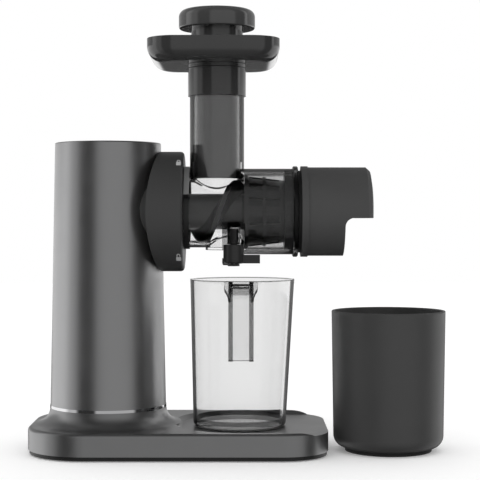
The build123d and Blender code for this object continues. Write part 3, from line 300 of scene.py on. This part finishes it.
def clear(name, tint, edge_shade, edge, outline_shade_share, shade_zones, skin, skin_shift):
    """Clear moulded plastic with painted shade where it is seen edge on and over thick mouldings.

    edge is where the tint turns to edge_shade, a painted shade, as it faces away, and past it a dark
    outline is painted in. shade_zones are boxes of painted shade with the share of the tint they keep.
    skin is an upright round wall, whose outer face darkens sooner by skin_shift."""
    material, g = new_material(name)
    place = g.add("TexCoord").outputs["Object"]
    wave = g.add("TexNoise", {"Vector": place, **CLEAR_WAVE}).outputs[0]
    facing = g.add("LayerWeight", {"Blend": 0.5}).outputs["Facing"]
    facing = g.math("ADD", facing, g.math("MULTIPLY", outer_face(g, place, *skin), skin_shift))
    # painted shade: the tint turns dark where the plastic is seen edge on
    tone = g.step(facing, *edge, tint, edge_shade)
    # painted shade: the tint is darker inside each shade box
    for *ranges, level in shade_zones:
        tone = g.blend(g.math("MULTIPLY", in_zone(g, place, ranges), 1.0 - level), tone, grey(0.0))
    body = g.add("BsdfPrincipled", {
        "Base Color": tone, "Roughness": g.math("MULTIPLY", wave, CLEAR_HAZE), "IOR": CLEAR_IOR,
        "Transmission Weight": 1.0,
        "Normal": g.add("Bump", {"Height": wave, **CLEAR_WAVE_RELIEF}).outputs[0],
    })
    # painted shade: past the edge a dark outline is mixed in
    outline = g.step(facing, edge[1], edge[1] + OUTLINE_FADE, 0.0, outline_shade_share)
    shade = g.mix(outline, body, g.add("BsdfPrincipled", PAINTED_OUTLINE_LOOK))
    shadow_ray = g.add("LightPath").outputs["Is Shadow Ray"]
    g.finish(g.mix(shadow_ray, shade, g.add("BsdfTransparent", {"Color": tone})))
    return material


def smoky(name, level, through):
    """Dark smoked plastic: glossy, almost opaque, with a little light coming through."""
    material, g = new_material(name)
    place = g.add("TexCoord").outputs["Object"]
    wave = g.add("TexNoise", {"Vector": place, **SMOKE_WAVE}).outputs[0]
    tone = g.blend(wave, grey(level * (1 - SMOKE_MOTTLE)), grey(level * (1 + SMOKE_MOTTLE)))
    skin = {
        "Roughness": g.math("ADD", g.math("MULTIPLY", wave, SMOKE_ROUGH_SWING), SMOKE_ROUGH),
        "Normal": g.add("Bump", {"Height": wave, **SMOKE_RELIEF}).outputs[0],
    }
    body = g.add("BsdfPrincipled", {"Base Color": tone, **skin, **SMOKE_COAT})
    g.finish(g.mix(through, body, g.add("BsdfPrincipled", {**SMOKE_GLASS, **skin})))
    return material


def even(level):
    return (level, level, level)


PAINT = {"grain": 1600, "bump": 0.05, "mottle": 0.06}
RUBBER = {"grain": 500}
MOULDED = {"grain": 1400}
SURFACES = {
    "base_paint": dict(colour=(0.34, 0.34, 0.343), rough=0.34, metal=0.95, **PAINT),
    "column_paint": dict(colour=(0.44, 0.44, 0.444), rough=0.33, metal=0.97, **PAINT),
    "skirt_black": dict(colour=even(0.012), rough=0.45),
    "foot_rubber": dict(colour=even(0.02), rough=0.8, **RUBBER),
    "gland_rubber": dict(colour=even(0.02), rough=0.7, **RUBBER),
    "trim_chrome": dict(
        colour=(0.85, 0.85, 0.86), rough=0.08, metal=1.0, bump=0.02, mottle=0.03, rough_swing=0.02,
    ),
    "hub_black": dict(colour=even(0.042), rough=0.42, bump=0.12, **MOULDED),
    "chassis_steel": dict(colour=even(0.5), rough=0.35, metal=1.0, streak=(1, 8, 0.6)),
    "post_steel": dict(colour=even(0.55), rough=0.3, metal=1.0),
    "screw_steel": dict(colour=(0.45, 0.45, 0.46), rough=0.35, metal=1.0),
    "shaft_steel": dict(colour=even(0.6), rough=0.2, metal=1.0),
    "pinion_steel": dict(colour=even(0.5), rough=0.3, metal=1.0),
    "motor_steel": dict(colour=(0.42, 0.42, 0.43), rough=0.35, metal=1.0, streak=(0.6, 6, 6)),
    "rotor_iron": dict(colour=even(0.2), rough=0.5, metal=0.8, streak=(20, 1, 1)),
    "magnet_grey": dict(colour=even(0.1), rough=0.6),
    "bush_bronze": dict(colour=(0.5, 0.32, 0.15), rough=0.4, metal=1.0),
    "gear_plastic": dict(colour=(0.65, 0.63, 0.58), rough=0.45),
    "seal_rubber": dict(colour=even(0.015), rough=0.55),
    "switch_black": dict(colour=even(0.015), rough=0.25, bump=0.05),
    "board_green": dict(colour=(0.02, 0.12, 0.05), rough=0.35),
    "standoff_plastic": dict(colour=(0.7, 0.7, 0.67), rough=0.5),
    "auger_dark": dict(colour=even(0.014), rough=0.3, grain=160, bump=0.02, specular=0.25),
    "lock_grey": dict(colour=even(0.018), rough=0.4),
    "strainer_dark": dict(colour=even(0.04), rough=0.3, grain=300, bump=0.03, specular=0.3),
    "mesh_steel": dict(colour=even(0.03), rough=0.45, metal=0.6),
    "pin_dark": dict(colour=even(0.03), rough=0.35),
    "cap_matte": dict(colour=even(0.058), rough=0.5, bump=0.15, **MOULDED),
    "pusher_gloss": dict(colour=even(0.056), rough=0.12, bump=0.03, rough_swing=0.03, coat=0.7),
    "drip_dark": dict(colour=even(0.02), rough=0.35),
    "cup_matte": dict(colour=even(0.05), rough=0.42, bump=0.12, **MOULDED),
    "mark_grey": dict(colour=even(0.45), rough=0.5),
    "lug_grey": dict(colour=even(0.2), rough=0.45),
}

# boxes of painted shade over thick mouldings of the clear plastic: their range along each axis in mm, and
# the share of the tint they keep
BARREL_DEPTH, BARREL_HEIGHT = (-40.0, 40.0), (150.0, 245.0)
WIDE_LENGTH, FLANGE_LENGTH, PAST_END = 46.5, 4.4, 1.0
# painted shade: a dark box over the clear boss of the drip stop's pivot
PIVOT_SHADE_BOX = ((-13.0, 6.0), (-40.0, -20.0), (160.0, 190.0))
flange_x = chamber_end - FLANGE_LENGTH
# painted shade: the barrel a little darker, its end flange much darker
chamber_shade_zones = [
    ((chamber_end - WIDE_LENGTH, flange_x), BARREL_DEPTH, BARREL_HEIGHT, 0.72),
    ((flange_x, chamber_end + PAST_END), BARREL_DEPTH, BARREL_HEIGHT, 0.15),
    (*PIVOT_SHADE_BOX, 0.2),
]
# painted shade: the chute's outer face turns dark sooner when seen edge on
chute_skin = ((chute_x, CHUTE_BOTTOM, CHUTE_RADIUS), (chute_x, CHUTE_TOP, CHUTE_RADIUS))

# painted shade over the handle's two straps, its roots beside the rim and the bridge between them
STRAP_FROM_MIDDLE, STRAP_WIDTH = 8.3, 3.6
STRAP_DEPTH, STRAP_HEIGHT = (-75.0, -36.0), (78.0, 136.0)
ROOT_FROM_MIDDLE, ROOT_WIDTH = 11.05, 7.0
ROOT_DEPTH, ROOT_HEIGHT = (-75.0, -46.0), (127.0, 143.0)
BRIDGE_HEIGHT = (132.0, 136.0)
# painted shade over the jug's thick floor and the edge of its rim
FLOOR_AROUND, FLOOR_BELOW, FLOOR_ABOVE = (-50.0, 50.0), 1.0, 7.0
RIM_AROUND, RIM_BELOW, RIM_ABOVE = (-60.0, 60.0), 0.9, 0.7


def beside_handle(from_middle, width):
    """The ranges to the left and right of the handle's middle that a pair of mouldings takes up."""
    middles = [handle_x + side * from_middle for side in BOTH_SIDES]
    return [(x - width / 2, x + width / 2) for x in middles]


left_root, right_root = beside_handle(ROOT_FROM_MIDDLE, ROOT_WIDTH)
# painted shade: the clear jug is darker over its handle, its thick floor and its rim
jug_shade_zones = [
    *((strap, STRAP_DEPTH, STRAP_HEIGHT, 0.5) for strap in beside_handle(STRAP_FROM_MIDDLE, STRAP_WIDTH)),
    (left_root, ROOT_DEPTH, ROOT_HEIGHT, 0.6),
    (right_root, ROOT_DEPTH, ROOT_HEIGHT, 0.6),
    ((left_root[1], right_root[0]), ROOT_DEPTH, BRIDGE_HEIGHT, 0.5),
    (FLOOR_AROUND, FLOOR_AROUND, (jug_bottom - FLOOR_BELOW, jug_bottom + FLOOR_ABOVE), 0.3),
    (RIM_AROUND, RIM_AROUND, (jug_top - RIM_BELOW, jug_top + RIM_ABOVE), 0.35),
]
# painted shade: the jug's outer face turns dark sooner when seen edge on
jug_skin = ((JUG_FOOT_X, jug_bottom - FLOOR_BELOW, JUG_FOOT_RADIUS), (JUG_RIM_X, jug_top, JUG_RIM_RADIUS))

FINISHES = {name: surface(name, **look) for name, look in SURFACES.items()}
FINISHES["chamber_clear"] = clear(
    "chamber_clear", tint=0.88, edge_shade=0.05, edge=(0.52, 0.6), outline_shade_share=0.85,
    shade_zones=chamber_shade_zones, skin=chute_skin, skin_shift=0.12,
)
FINISHES["jug_clear"] = clear(
    "jug_clear", tint=0.85, edge_shade=0.04, edge=(0.93, 0.96), outline_shade_share=0.95,
    shade_zones=jug_shade_zones, skin=jug_skin, skin_shift=0.33,
)
FINISHES["tray_smoke"] = smoky("tray_smoke", level=0.034, through=0.06)

# every node of the frame takes the finish that its material is named after
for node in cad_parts.values():
    for slot in node.material_slots:
        slot.material = FINISHES[slot.material.name.split(".")[0]]

# ---------------------------------------------------------------- mesh helpers
WELD_DISTANCE = 1e-7
SHARP_EDGE = 40.0


class Shape:
    """Closed shells gathered into one mesh, in millimetres."""

    def __init__(self):
        self.verts = []
        self.faces = []

    def add(self, verts, faces):
        start = len(self.verts)
        self.verts.extend(verts)
        self.faces.extend(tuple(start + i for i in face) for face in faces)

    def prism(self, low_loop, high_loop):
        """A closed solid between two loops of the same number of points."""
        count = len(low_loop)
        faces = [tuple(range(count))[::-1], tuple(range(count, 2 * count))]
        faces += [(i, (i + 1) % count, count + (i + 1) % count, count + i) for i in range(count)]
        self.add([*low_loop, *high_loop], faces)

    def turned(self, profile, place, steps):
        """A closed profile turned once round; place gives a point from a profile point and a turn."""
        turns = np.linspace(0, 2 * math.pi, steps, endpoint=False)
        verts = [place(*point, turn) for turn in turns for point in profile]
        count = len(profile)
        faces = []
        for i in range(steps):
            here, after = i * count, (i + 1) % steps * count
            for k in range(count):
                m = (k + 1) % count
                faces.append((here + k, here + m, after + m, after + k))
        self.add(verts, faces)

    def build(self, name, finish, body, sharp=SHARP_EDGE):
        """Makes the mesh object in metres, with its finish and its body."""
        mesh = bpy.data.meshes.new(name)
        mesh.from_pydata([tuple(v) for v in np.asarray(self.verts) * MM], [], self.faces)
        work = bmesh.new()
        work.from_mesh(mesh)
        bmesh.ops.remove_doubles(work, verts=work.verts, dist=WELD_DISTANCE)
        bmesh.ops.recalc_face_normals(work, faces=work.faces)
        work.to_mesh(mesh)
        work.free()
        mesh.shade_smooth()
        mesh.set_sharp_from_angle(angle=math.radians(sharp))
        mesh.materials.append(FINISHES[finish])
        obj = bpy.data.objects.new(name, mesh)
        scene.collection.objects.link(obj)
        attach(obj, body)


def arc(centre, radius, start, end, count):
    """Points along an arc, angles in degrees."""
    turns = np.radians(np.linspace(start, end, count))
    return [(centre[0] + radius * math.cos(t), centre[1] + radius * math.sin(t)) for t in turns]


def rounded_box(centre, width, height, corner, count=6):
    """A rectangle with round corners, each of count points."""
    points = []
    for sx, sy, start in ((1, 1, 0), (-1, 1, 90), (-1, -1, 180), (1, -1, 270)):
        corner_centre = (centre[0] + sx * (width / 2 - corner), centre[1] + sy * (height / 2 - corner))
        points += arc(corner_centre, corner, start, start + 90, count)
    return points


def round_hub_axis(along, radius, turn):
    return (along, radius * math.cos(turn), hub_z + radius * math.sin(turn))


# ---------------------------------------------------------------- padlock marks on the drum
MARK_FROM_EDGE = 3.6
MARK_TURN = 51.0
MARK_WIDTH, MARK_HEIGHT, MARK_CORNER = 3.8, 4.6, 0.6
SHACKLE_RADIUS, SHACKLE_BAR, SHACKLE_RISE = 1.5, 0.7, 1.2
SHACKLE_ROOT = 0.2
OPEN_LIFT, OPEN_END_SHARE = 1.3, 0.9
SHACKLE_POINTS = 14
MARK_RISE, MARK_SINK = 0.25, 0.4


def on_drum(drawing, turn, radius):
    """A flat drawing wrapped on the drum: u along its axis, v round it, at a turn from the front."""
    wrapped = []
    for u, v in drawing:
        t = math.radians(turn) + v / hub_radius
        wrapped.append((u, -radius * math.cos(t), hub_z + radius * math.sin(t)))
    return wrapped


def build_marks():
    """A closed padlock above and an open one below, at the drum's edge."""
    marks = Shape()
    x = hub_x - MARK_FROM_EDGE
    foot = MARK_HEIGHT / 2 - SHACKLE_ROOT
    for turn, lift in ((MARK_TURN, 0.0), (-MARK_TURN, OPEN_LIFT)):
        bow = (x, MARK_HEIGHT / 2 + SHACKLE_RISE + lift)
        free_end = foot + lift * OPEN_END_SHARE
        shackle = [
            (x + SHACKLE_RADIUS, free_end),
            *arc(bow, SHACKLE_RADIUS, 0, 180, SHACKLE_POINTS),
            (x - SHACKLE_RADIUS, foot),
            (x - SHACKLE_RADIUS + SHACKLE_BAR, foot),
            *arc(bow, SHACKLE_RADIUS - SHACKLE_BAR, 180, 0, SHACKLE_POINTS),
            (x + SHACKLE_RADIUS - SHACKLE_BAR, free_end),
        ]
        for drawing in (rounded_box((x, 0.0), MARK_WIDTH, MARK_HEIGHT, MARK_CORNER), shackle):
            inner = on_drum(drawing, turn, hub_radius - MARK_SINK)
            marks.prism(inner, on_drum(drawing, turn, hub_radius + MARK_RISE))
    marks.build("lock_marks", "mark_grey", "motor_base")


# ---------------------------------------------------------------- lock lugs
LUG_RADIUS = 38.4
LUG_TURNS = (21.0, 75.0)
LUG_POINTS = 30
LUG_DEPTH, LUG_SKIN = 3.0, 0.3
LUG_LEFT_GAP, LUG_RIGHT_SKIN = 0.3, 0.25


def build_lugs():
    """The grey faces of the two lock lugs that turn with the chamber."""
    lugs = Shape()
    inner = arc((0.0, hub_z), LUG_RADIUS - LUG_DEPTH, *LUG_TURNS, LUG_POINTS)
    outer = arc((0.0, hub_z), LUG_RADIUS + LUG_SKIN, *LUG_TURNS, LUG_POINTS)
    ends = (lock_left + LUG_LEFT_GAP, lock_right + LUG_RIGHT_SKIN)
    for side in BOTH_SIDES:
        loops = [[(x, side * y, z) for y, z in inner + outer[::-1]] for x in ends]
        lugs.prism(*loops)
    lugs.build("lock_lugs", "lug_grey", "chamber")


# ---------------------------------------------------------------- drum's neck
SLEEVE_RADIUS, SLEEVE_WALL = 34.8, 0.45
SLEEVE_START, SLEEVE_END = 28.2, 36.5
SLEEVE_STEPS = 120


def build_sleeve():
    """The drum's dark neck, which closes the column's opening behind it, clear of the idler gear."""
    sleeve = Shape()
    left, right = column_x + SLEEVE_START, column_x + SLEEVE_END
    bore = SLEEVE_RADIUS - SLEEVE_WALL
    profile = [(left, bore), (left, SLEEVE_RADIUS), (right, SLEEVE_RADIUS), (right, bore)]
    sleeve.turned(profile, round_hub_axis, SLEEVE_STEPS)
    sleeve.build("hub_sleeve", "hub_black", "motor_base")


# ---------------------------------------------------------------- seam round the tray's collar
COLLAR_RADIUS = 24.25
LINE_LEVEL, LINE_WIDTH = 318.6, 0.7
LINE_DEPTH, LINE_RISE, LINE_CROWN = 0.6, 0.12, 0.2
LINE_STEPS = 96


def round_chute_axis(along, radius, turn):
    return (chute_x + radius * math.cos(turn), radius * math.sin(turn), along)


def build_collar_line():
    """The dark seam between the collar and the tray above it."""
    line = Shape()
    bottom, top = LINE_LEVEL - LINE_WIDTH / 2, LINE_LEVEL + LINE_WIDTH / 2
    profile = [
        (bottom, COLLAR_RADIUS - LINE_DEPTH), (bottom, COLLAR_RADIUS + LINE_RISE),
        (LINE_LEVEL, COLLAR_RADIUS + LINE_CROWN), (top, COLLAR_RADIUS + LINE_RISE),
        (top, COLLAR_RADIUS - LINE_DEPTH),
    ]
    line.turned(profile, round_chute_axis, LINE_STEPS)
    line.build("collar_line", "seal_rubber", "tray")


# ---------------------------------------------------------------- roots of the jug's handle
# out from the handle's middle, and down from the jug's rim
ROOT_OUTLINE = [
    (8.4, 16.3), (10.1, 15.3), (10.5, 12.3), (11.6, 9.7), (13.0, 7.7), (13.4, 5.3), (13.4, 0.7),
    (12.8, 0.1), (9.6, 0.1), (9.0, 0.7), (8.8, 2.9), (7.6, 4.7), (7.2, 7.3), (8.2, 11.3),
]
ROOT_FRONT, ROOT_BACK = -66.0, -45.0
ROOT_LEAN_BELOW_RIM, ROOT_LEAN = 6.3, 0.8
ROOT_SHARP_EDGE = 50.0


def build_roots():
    """The curved roots on both sides of the handle, where its flanges widen into the rim."""
    roots = Shape()
    for side in BOTH_SIDES:
        outline = [(handle_x + side * out, drop) for out, drop in ROOT_OUTLINE]
        front = []
        for x, drop in outline:
            lean = max(0.0, ROOT_LEAN_BELOW_RIM - drop) * ROOT_LEAN
            front.append((x, ROOT_FRONT + lean, jug_top - drop))
        roots.prism(front, [(x, ROOT_BACK, jug_top - drop) for x, drop in outline])
    roots.build("handle_roots", "jug_clear", "jug", sharp=ROOT_SHARP_EDGE)


build_marks()
build_lugs()
build_sleeve()
build_collar_line()
build_roots()
